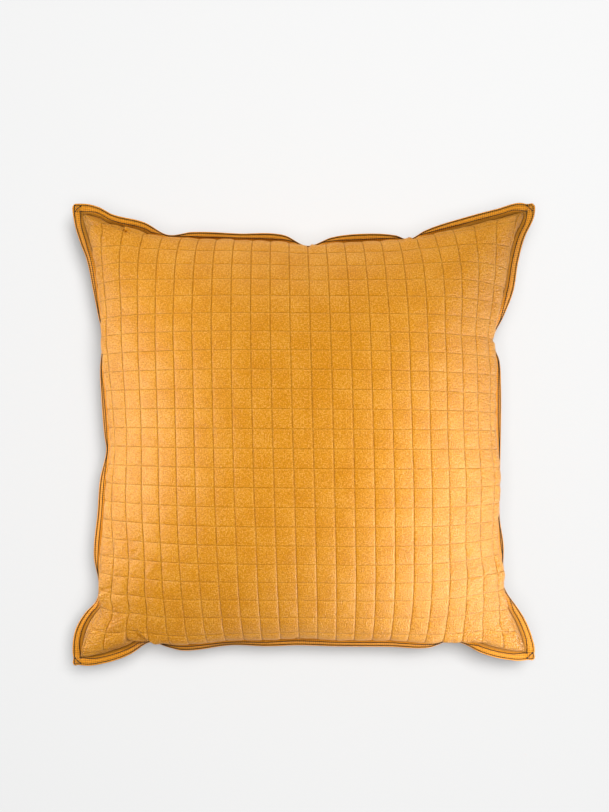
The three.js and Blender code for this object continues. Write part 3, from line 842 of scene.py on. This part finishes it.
def spun_thread(name, colour, sheen):
    """Two ply sewing thread, dyed and waxed: fine slanting plies, darker between them, and a soft
    gloss along the twist."""
    material, tree, shader = new_material(name)
    cloth = add_node(tree, "UVMap", uv_map="cloth").outputs[0]
    slanted = add_node(tree, "Mapping", {"Vector": cloth, "Scale": (MM, MM, 1)}, vector_type="TEXTURE")
    plies = add_node(
        tree, "TexWave", {"Vector": slanted.outputs[0], "Scale": PLY_SCALE, "Distortion": 0.4},
        bands_direction="DIAGONAL",
    )
    ramp = add_node(tree, "ValToRGB", {"Fac": plies.outputs["Fac"]})
    ramp.color_ramp.elements[0].color = linear(colour[0])
    ramp.color_ramp.elements[1].color = linear(colour[1])
    tree.links.new(ramp.outputs["Color"], shader.inputs["Base Color"])
    bump = add_node(tree, "Bump", {"Height": plies.outputs["Fac"], "Distance": 0.05 * MM})
    tree.links.new(bump.outputs[0], shader.inputs["Normal"])
    set_sockets(shader, Roughness=0.75, Specular_IOR_Level=0.12, Sheen_Weight=sheen)
    return material


quilt_thread = spun_thread("golden_cotton_thread", ("#B87A04", "#D88F10"), 0)
face_normals = normals_of(face_points)
for axis, name in ((0, "upright_quilting"), (1, "level_quilting")):
    places = quilt_places(axis, CELL_STEPS, RIM_STEPS, CROWDING)
    lines = np.arange(FIRST_LINE[axis], LAST_LINE[axis] + 1)
    columns = np.searchsorted(places, lines - 1e-6)
    found = []
    for column in columns:
        line = (slice(2, -2), column) if axis == 0 else (column, slice(2, -2))
        found.append(evenly_along(np.hstack([face_points[line], face_normals[line]]), QUILT_PITCH))
    rows = np.concatenate([row for row, direction in found])
    directions = np.concatenate([direction for row, direction in found])
    quilting = stitches(
        name, rows[:, :3], directions, rows[:, 3:], QUILT_STITCH, QUILT_SIDES, QUILT_ARCH,
    )
    quilting.data.materials.append(quilt_thread)
    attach(quilting, "root")


# The bound edge. Four strips of ribbed cotton tape, folded double with the seam allowance inside,
# stand out flat from the seam, are mitred where they meet, and are topstitched through all layers.
TAPE_HALF = 1.2 * MM  # half the thickness of the folded tape
TAPE_STEPS = 900  # along a strip, about four to a rib
RIB_PITCH = 2.1 * MM
RIB_HEIGHT = 0.16 * MM
STITCH_ROWS = (3.0 * MM, 9.7 * MM)  # from the seam out to the two rows of topstitching
ROW_CLEARANCE = 0.3 * MM  # between the face and the inner row, which slips out where the face is near
ROW_DEPTH = 0.4 * MM
ROW_WIDTH = 0.9 * MM
SWELL_BETWEEN = 0.25 * MM
TAPE_WAVE = 0.7 * MM
SEWN_GAP = 0.04 * MM  # between the strips at a mitre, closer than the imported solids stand
TIP_RADIUS = 5.5 * MM
TIP_BLEND = 10 * MM


def seam_places(side):
    """Shares of the half panel along a side, and the places along its seam where they lie."""
    shares = np.linspace(-1, 1, 401)
    return shares, along_seam(side, shares)


def tape_height(side, along, out):
    """Height and tilt of a strip's middle layer at a place along the side and a distance out from
    the seam: the seam's own height, less what the tilt drops, plus a slow wave that grows outwards."""
    shares, places = seam_places(side)
    share = np.interp(along, places, shares)
    tilt = measure(side, along)[3]
    seed = 70 + 2 * side["axis"] + side["outward"]
    wave = TAPE_WAVE * rumple(along, 0 * along, 34 * MM, seed) * (out / FLANGE_WIDTH) * (1 - share**8)
    return seam_height(share, 1) - out * np.sin(tilt) + wave, tilt


def on_side(side, along, out):
    """Plan points of a side from places along it and distances out from the middle."""
    places = [along, side["outward"] * out]
    return np.stack(places if side["axis"] == 1 else places[::-1], axis=-1)


def strip_ends(side):
    """The inner and outer end of the mitre at both ends of a strip, each half a gap in from it."""
    ends = []
    for k, corner in enumerate(side["corners"]):
        diagonal = np.sign(corner) / math.sqrt(2)
        shift = np.zeros(2)
        shift[1 - side["axis"]] = SEWN_GAP / math.sqrt(2) * (1 - 2 * k)
        ends.append([corner + diagonal * reach + shift for reach in (FIT_GAP * math.sqrt(2), TIP_REACH)])
    return ends


def face_height(out):
    """Height of the tape's face off its middle layer at a distance out from the seam: drawn in along
    the two rows of topstitching, and swelling a little between them."""
    drawn = sum(ROW_DEPTH * np.exp(-(((out - row) / ROW_WIDTH) ** 2)) for row in STITCH_ROWS)
    between = np.clip((out - STITCH_ROWS[0]) / (STITCH_ROWS[1] - STITCH_ROWS[0]), 0, 1)
    return TAPE_HALF - drawn + SWELL_BETWEEN * np.sin(np.pi * between)


def tape_section():
    """Half outline of the folded tape, as distances out from the seam and heights off its middle
    layer: flat faces and a round fold. The topstitching pulls the faces in along its two rows."""
    flat = np.linspace(0, FLANGE_WIDTH - TAPE_HALF, 16)
    turn = np.linspace(math.pi / 2, -math.pi / 2, 7)[1:-1]
    face = face_height(flat)
    out = np.concatenate([flat, FLANGE_WIDTH - TAPE_HALF + TAPE_HALF * np.cos(turn), flat[::-1]])
    return out, np.concatenate([face, TAPE_HALF * np.sin(turn), -face[::-1]])


def bound_strip(side, name):
    """A closed strip: the section carried along the side between its two mitres, tilted down where
    the face hides it. Cross ribs swell its faces, and fade where the stitching holds them."""
    out, lift = tape_section()
    share = np.linspace(-1, 1, TAPE_STEPS + 1)
    along = along_seam(side, share)
    (start_in, start_tip), (end_in, end_tip) = strip_ends(side)
    tips = [tip[1 - side["axis"]] for tip in (start_tip, end_tip)]
    tip_along = np.interp(along, [along[0], along[-1]], tips)
    inner = on_side(side, along, measure(side, along)[1] + FIT_GAP)
    outer = on_side(side, tip_along, measure(side, tip_along)[0])
    inner[0], outer[0], inner[-1], outer[-1] = start_in, start_tip, end_in, end_tip
    for tip in (start_tip, end_tip):
        away = np.abs(outer[:, 1 - side["axis"]] - tip[1 - side["axis"]])
        bend = np.maximum(0, TIP_RADIUS / math.sqrt(2) - away)
        tip_out = side["outward"] * tip[side["axis"]]
        rounded = tip_out + np.sqrt(TIP_RADIUS**2 - bend**2) - TIP_RADIUS / math.sqrt(2)
        share_of_it = 0.5 + 0.5 * np.cos(np.pi * np.clip(away / TIP_BLEND, 0, 1))
        plain = side["outward"] * outer[:, side["axis"]]
        outer[:, side["axis"]] = side["outward"] * (plain * (1 - share_of_it) + rounded * share_of_it)
    width = out / FLANGE_WIDTH
    plan = inner[:, None] * (1 - width[:, None]) + outer[:, None] * width[:, None]
    place = plan[..., 1 - side["axis"]]
    height, tilt = tape_height(side, place, np.broadcast_to(out, place.shape))
    ribs = 1 + np.cos(2 * np.pi * place / RIB_PITCH)
    held = sum(np.exp(-(((out - row) / ROW_WIDTH) ** 2)) for row in STITCH_ROWS)
    swell = lift + np.sign(lift) * RIB_HEIGHT / 2 * ribs * (1 - 0.8 * held) * np.abs(lift) / TAPE_HALF
    plan[..., side["axis"]] += side["outward"] * np.sin(tilt) * swell
    points = np.concatenate([plan, (height + np.cos(tilt) * swell)[..., None]], axis=-1) - MIDDLE
    rows, columns = place.shape
    # The section closes on itself at the seam, and the ends are closed with one face each.
    number = np.arange(rows * columns).reshape(rows, columns)
    ahead = np.roll(number, -1, axis=1)
    quads = np.stack([number[:-1], ahead[:-1], ahead[1:], number[1:]], axis=-1).reshape(-1, 4)
    ends = [number[0][None], number[-1][::-1][None]]
    if (side["axis"] == 1) == (side["outward"] > 0):
        quads, ends = quads[:, ::-1], [end[:, ::-1] for end in ends]
    girth = np.concatenate([[0], np.cumsum(np.hypot(np.diff(out), np.diff(lift)))])
    uv = np.stack([place, np.broadcast_to(girth, place.shape)], axis=-1)
    return add_mesh(name, points, [quads, *ends], cloth=uv)


CORD_PITCH = 2.1  # mm between the cords that run along the tape, as coarse as the view needs
TAPE_GIRTH = 25.4  # mm round the folded tape, from the seam out to the fold and back
TAPE_PAINTED_SHADE = (6.5, 13)  # mm from the fold, between which painted shade darkens the tape towards the seam, under the face


def ribbed_tape():
    """Ribbed cotton tape, woven with a thick weft and dyed a deeper shade than the cover: cross ribs
    that catch the light, darker between them, and a little fuzz."""
    material, tree, shader = new_material("ribbed_cotton_tape")
    cloth = add_node(tree, "UVMap", uv_map="cloth").outputs[0]
    mm = add_node(tree, "VectorMath", {0: cloth, 1: (1000, 1000, 1000)}, operation="MULTIPLY").outputs[0]
    ribs = add_node(
        tree, "TexWave",
        {"Vector": mm, "Scale": math.pi / 10 / (RIB_PITCH / MM), "Distortion": 0.5, "Detail": 2,
         "Detail Scale": 2, "Phase Offset": math.pi / 2},
    ).outputs["Fac"]
    uneven = add_node(
        tree, "TexNoise", {"Vector": mm, "Scale": 0.45, "Detail": 5, "Roughness": 0.7},
    ).outputs["Fac"]
    cords = add_node(
        tree, "TexWave", {"Vector": mm, "Scale": math.pi / 10 / CORD_PITCH, "Distortion": 0.5, "Detail": 1},
        bands_direction="Y",
    ).outputs["Fac"]
    both = add_node(tree, "Math", {0: ribs, 1: 0.3, 2: uneven}, operation="MULTIPLY_ADD").outputs[0]
    all_three = add_node(tree, "Math", {0: cords, 1: 0.35, 2: both}, operation="MULTIPLY_ADD").outputs[0]
    colour = add_node(tree, "ValToRGB", {"Fac": all_three})
    ramp = colour.color_ramp
    ramp.elements[0].position, ramp.elements[0].color = 0.45, linear("#A86002")
    ramp.elements[1].position, ramp.elements[1].color = 1.05, linear("#F7A11C")
    # The upper face runs from the seam to the fold, and the under one from the fold back to the seam.
    around = add_node(tree, "SeparateXYZ", {"Vector": mm}).outputs[1]
    from_fold = add_node(tree, "Math", {0: around, 1: TAPE_GIRTH / 2}, operation="SUBTRACT").outputs[0]
    from_fold = add_node(tree, "Math", {0: from_fold}, operation="ABSOLUTE").outputs[0]
    # Painted shade: the tape's colour is darkened towards the seam, where the swollen face shadows it.
    depth = add_node(
        tree, "MapRange", {"Value": from_fold, "From Min": TAPE_PAINTED_SHADE[0], "From Max": TAPE_PAINTED_SHADE[1]},
        interpolation_type="SMOOTHSTEP",
    ).outputs[0]
    shade = add_node(
        tree, "MixRGB", {"Fac": depth, "Color1": colour.outputs["Color"], "Color2": linear("#A2690B")},
    ).outputs["Color"]
    tree.links.new(shade, shader.inputs["Base Color"])
    bump = add_node(tree, "Bump", {"Height": all_three, "Distance": 0.3 * MM, "Strength": 0.8})
    tree.links.new(bump.outputs[0], shader.inputs["Normal"])
    set_sockets(
        shader, Roughness=0.8, Specular_IOR_Level=0.25, Sheen_Weight=0.15, Sheen_Roughness=0.5,
        Sheen_Tint=linear("#FFE3BD"),
    )
    return material


tape = ribbed_tape()
SIDES = {"top": TOP, "right": RIGHT, "bottom": BOTTOM, "left": LEFT}
for name, side in SIDES.items():
    strip = bound_strip(side, "bound_edge_" + name)
    strip.data.materials.append(tape)
    places = [corner[1 - side["axis"]] for corner in side["corners"]]
    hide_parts("flange_" + name)
    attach(strip, "root")


# The topstitching. Two rows of dark polyester thread hold each strip's folds and run on across the
# strips next to it, so that they frame a small square at each corner, closed with a slanting tack.
TOPSTITCH_PITCH = 2.15 * MM
TOPSTITCH = (2.1 * MM, 0.95 * MM)
TOPSTITCH_SIDES = 5
TOPSTITCH_ARCH = 0.15 * MM
TACK_STITCHES = 5
TACK_END = {"top": 0, "right": 1, "bottom": 1, "left": 0}  # the end of each side that has the tack
ROW_END = 0.3 * MM  # by which a row runs on past the outer row of the side next to it
SLIP_OVER = 12 * MM  # end of a seam over which the inner row comes back to its own place


def row_path(side, out, facing):
    """A row of topstitching as points and normals: a line at a distance out from the seam, run on
    straight past both corners, on the upper (facing 1) or the under side of the tape. The inner row
    lies further out where the face comes near it."""
    first, last = (corner[1 - side["axis"]] for corner in side["corners"])
    past = STITCH_ROWS[1] + ROW_END
    along = np.linspace(first - past, last + past, 900)
    inside = np.clip(along, first, last)
    edge, seam, reach, tilt = measure(side, inside)
    out = np.full_like(along, out)
    if out[0] < FLANGE_WIDTH / 2:
        shown = np.maximum(STITCH_ROWS[0], (edge - reach - PUFF_ALLOWANCE - ROW_CLEARANCE) / np.cos(tilt))
        fade = np.clip(np.minimum(along - first, last - along) / SLIP_OVER, 0, 1)
        out = out + fade * np.maximum(0, FLANGE_WIDTH - shown - out)
    height, tilt = tape_height(side, along, out)
    lift = facing * (face_height(out) + TOPSTITCH[1] * 0.3)
    plan = on_side(side, along, seam + FIT_GAP + out * np.cos(tilt) + np.sin(tilt) * lift)
    points = np.concatenate([plan, (height + np.cos(tilt) * lift)[:, None]], axis=1) - MIDDLE
    normals = np.zeros_like(points)
    normals[:, side["axis"]] = facing * side["outward"] * np.sin(tilt)
    normals[:, 2] = facing * np.cos(tilt)
    return np.hstack([points, normals])


def corner_tacks(side, end):
    """The slanting tack across the square at one end of a side, on both faces: points with their
    normals, and directions."""
    corner = side["corners"][end]
    low, high = STITCH_ROWS
    ends = corner + np.sign(corner) * np.array([[low, high], [high, low]])
    height = seam_height(1, 1)
    found = []
    for facing in (1, -1):
        steps = (np.arange(TACK_STITCHES) + 0.5) / TACK_STITCHES
        plan = ends[0] + (ends[1] - ends[0]) * steps[:, None]
        lift = TAPE_HALF + SWELL_BETWEEN + RIB_HEIGHT + TOPSTITCH[1] / 2
        lifted = np.full((TACK_STITCHES, 1), height + facing * lift)
        normals = np.tile([0, 0, facing], (TACK_STITCHES, 1))
        points = np.hstack([np.hstack([plan, lifted]) - MIDDLE, normals])
        run = np.append(ends[1] - ends[0], 0)
        found.append((points, np.tile(run / np.linalg.norm(run), (TACK_STITCHES, 1))))
    return found


topstitch_thread = spun_thread("dark_polyester_thread", ("#0A1718", "#20302F"), 0)
for name, side in SIDES.items():
    found = [
        (*evenly_along(row_path(side, out, facing), TOPSTITCH_PITCH),)
        for out in STITCH_ROWS for facing in (1, -1)
    ]
    found += corner_tacks(side, TACK_END[name])
    rows = np.concatenate([row for row, direction in found])
    directions = np.concatenate([direction for row, direction in found])
    topstitching = stitches(
        "topstitching_" + name, rows[:, :3], directions, rows[:, 3:],
        TOPSTITCH, TOPSTITCH_SIDES, TOPSTITCH_ARCH,
    )
    topstitching.data.materials.append(topstitch_thread)
    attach(topstitching, "root")


# The studio: a white table that glows a little, under two wide lamps that light it alone and let the
# cushion throw a soft shadow. Four soft boxes light the cushion, and three low ones only its gloss.
FLOOR_HALF = 3
floor_mesh = bpy.data.meshes.new("table")
floor_mesh.from_pydata(
    [(x * FLOOR_HALF, y * FLOOR_HALF, -0.5 * MM) for x, y in ((-1, -1), (1, -1), (1, 1), (-1, 1))],
    [], [(0, 1, 2, 3)],
)
table = bpy.data.objects.new("table", floor_mesh)
scene.collection.objects.link(table)
table_material, _, table_shader = new_material("white_table")
set_sockets(
    table_shader, Base_Color=(0.25, 0.25, 0.25, 1), Roughness=1, Specular_IOR_Level=0,
    Emission_Color=(1, 1, 1, 1), Emission_Strength=0.068,
)
table.data.materials.append(table_material)
on_table = bpy.data.collections.new("on_table")
for piece in scene.objects:
    if piece.type == "MESH" and piece is not table:
        on_table.objects.link(piece)
under_it = bpy.data.collections.new("under_it")
under_it.objects.link(table)


def soft_light(name, turn, rise, away, size, share, lit, glints=False):
    """A square area light, turned to the cushion from the given compass angle and height in degrees
    and distance. share is how brightly it lights what faces it, as a share of white. It lights only
    the pieces of the collection lit, and only by their gloss where glints is set."""
    light = bpy.data.lights.new(name, "AREA")
    turn, rise = math.radians(turn), math.radians(rise)
    level = math.cos(rise)
    place = np.array([level * math.cos(turn), level * math.sin(turn), math.sin(rise)])
    light.size = size
    light.energy = share * math.pi**2 * away**2
    lamp = bpy.data.objects.new(name, light)
    lamp.location = place * away + [0, 0, SEAM_HEIGHT]
    lamp.rotation_euler = Vector(-place).to_track_quat("-Z", "Y").to_euler()
    lamp.light_linking.receiver_collection = lit
    lamp.visible_diffuse = not glints
    scene.collection.objects.link(lamp)


soft_light("slanting_lamp", 52, 76.9, 4, 1.55, 2.15, under_it)
soft_light("overhead_lamp", 0, 89, 4, 2.45, 1.45, under_it)
soft_light("right_light", -8, 42, 0.53, 0.3, 0.66, on_table)
soft_light("left_light", 184, 36, 0.6, 0.3, 0.63, on_table)
soft_light("top_light", 98, 10, 1.4, 0.6, 0.56, on_table)
soft_light("bottom_light", 302, 22, 0.5, 0.3, 0.31, on_table)
soft_light("right_glint", -4, 2, 0.8, 0.3, 2.1, on_table, glints=True)
soft_light("corner_glint", -44, 1, 0.8, 0.3, 3.4, on_table, glints=True)
soft_light("left_glint", 182, 2, 0.8, 0.3, 2.0, on_table, glints=True)
scene.world = bpy.data.worlds.new("studio")
scene.world.use_nodes = True
background = scene.world.node_tree.nodes["Background"]
background.inputs["Color"].default_value = (1, 1, 1, 1)
background.inputs["Strength"].default_value = 0.23
scene.view_settings.view_transform = "Standard"
